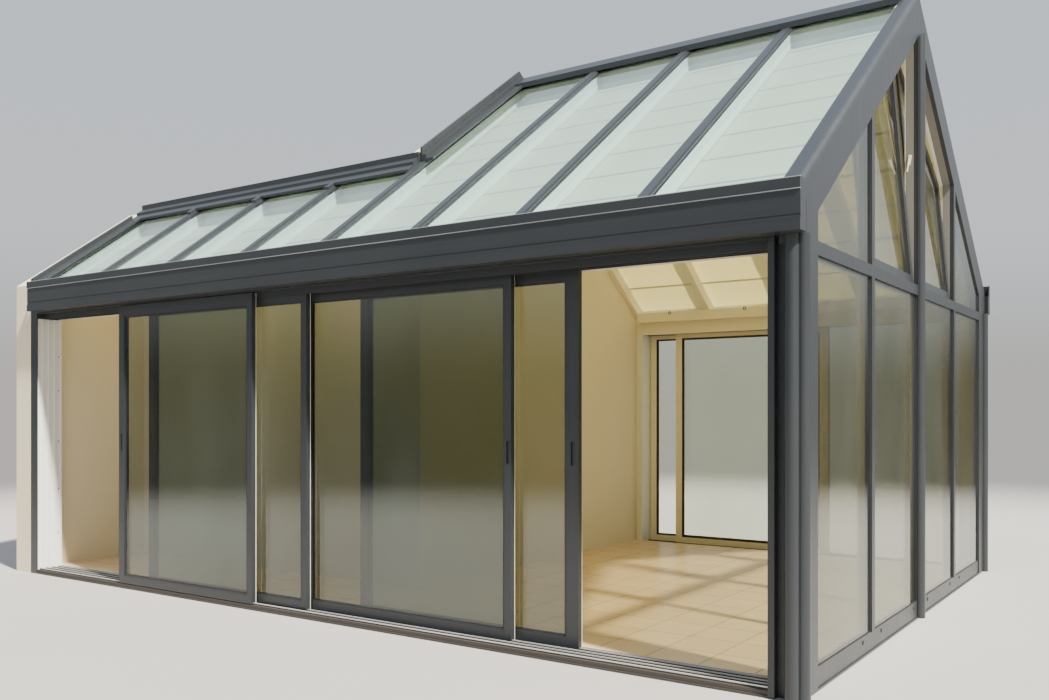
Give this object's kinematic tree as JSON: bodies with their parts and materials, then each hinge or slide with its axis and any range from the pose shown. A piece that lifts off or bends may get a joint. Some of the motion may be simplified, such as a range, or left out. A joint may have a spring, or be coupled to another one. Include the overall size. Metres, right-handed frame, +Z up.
{
  "type": "glass conservatory",
  "caption": "Glass-walled conservatory with a pitched glass roof, a lower lean-to wing and sliding glass doors on parallel tracks.",
  "frame": {"origin": "centre of the bounding box at ground level", "axes": "+Z up, front sliding wall faces -Y, glazed gable faces +X"},
  "size_m": [7.327, 5.192, 4.5151],
  "materials": {
    "anthracite": "satin powder coat",
    "cream_frame": "satin powder coat",
    "wall_glass": "clear double glazing",
    "roof_glass": "clear laminated glazing",
    "blind_fabric": "woven pleats",
    "plaster": "fine painted plaster",
    "tile": "polished floor tiles"
  },
  "bodies": {
    "building": {"floor": "tile", "left_party_wall": "plaster", "lean_party_wall": "plaster", "step_party_wall": "plaster", "front_sill": "anthracite", "rear_sill": "anthracite", "gable_sill": "anthracite", "gable_panes": "wall_glass", "centre_mullion": "anthracite", "gable_mullions": "anthracite", "gable_transom": "anthracite", "front_rafters": "anthracite", "rear_rafters": "anthracite", "lean_rafters": "anthracite", "front_glass": "roof_glass", "rear_glass": "roof_glass", "lean_glass": "roof_glass", "front_blinds": "blind_fabric", "rear_blinds": "blind_fabric", "lean_blinds": "blind_fabric", "front_rake": "anthracite", "rear_rake": "anthracite", "front_beam": "anthracite", "rear_beam": "anthracite", "left_post": "anthracite", "rear_wall_post": "anthracite", "front_corner_post": "anthracite", "rear_corner_post": "anthracite", "ridge_beam": "cream_frame", "wall_plate": "cream_frame", "ridge_cap": "anthracite", "wall_flashing": "anthracite", "left_verge": "anthracite", "step_verge": "anthracite", "front_gutter": "anthracite", "rear_gutter": "anthracite", "vent_panes": "wall_glass", "vent_sashes": "anthracite"},
    "leaf_1": {"leaf_1_frame": "anthracite", "leaf_1_pane": "wall_glass"},
    "leaf_2": {"leaf_2_frame": "anthracite", "leaf_2_pane": "wall_glass"},
    "leaf_3": {"leaf_3_frame": "anthracite", "leaf_3_pane": "wall_glass"},
    "leaf_4": {"leaf_4_frame": "anthracite", "leaf_4_pane": "wall_glass"},
    "rear_leaf_1": {"rear_leaf_1_frame": "anthracite", "rear_leaf_1_pane": "wall_glass"},
    "rear_leaf_2": {"rear_leaf_2_frame": "anthracite", "rear_leaf_2_pane": "wall_glass"}
  },
  "joints": [
    {"name": "leaf_1_slide", "type": "slide", "parent": "building", "child": "leaf_1", "axis": [1, 0, 0], "range_m": [-1.22, 3.91025]},
    {"name": "leaf_2_slide", "type": "slide", "parent": "building", "child": "leaf_2", "axis": [1, 0, 0], "range_m": [-1.54475, 3.3995]},
    {"name": "leaf_3_slide", "type": "slide", "parent": "building", "child": "leaf_3", "axis": [1, 0, 0], "range_m": [-3.2755, 1.66875]},
    {"name": "leaf_4_slide", "type": "slide", "parent": "building", "child": "leaf_4", "axis": [1, 0, 0], "range_m": [-3.78625, 1.22]},
    {"name": "rear_leaf_1_slide", "type": "slide", "parent": "building", "child": "rear_leaf_1", "axis": [1, 0, 0], "range_m": [0, 1.5525]},
    {"name": "rear_leaf_2_slide", "type": "slide", "parent": "building", "child": "rear_leaf_2", "axis": [1, 0, 0], "range_m": [-0.3325, 1.22]}
  ]
}
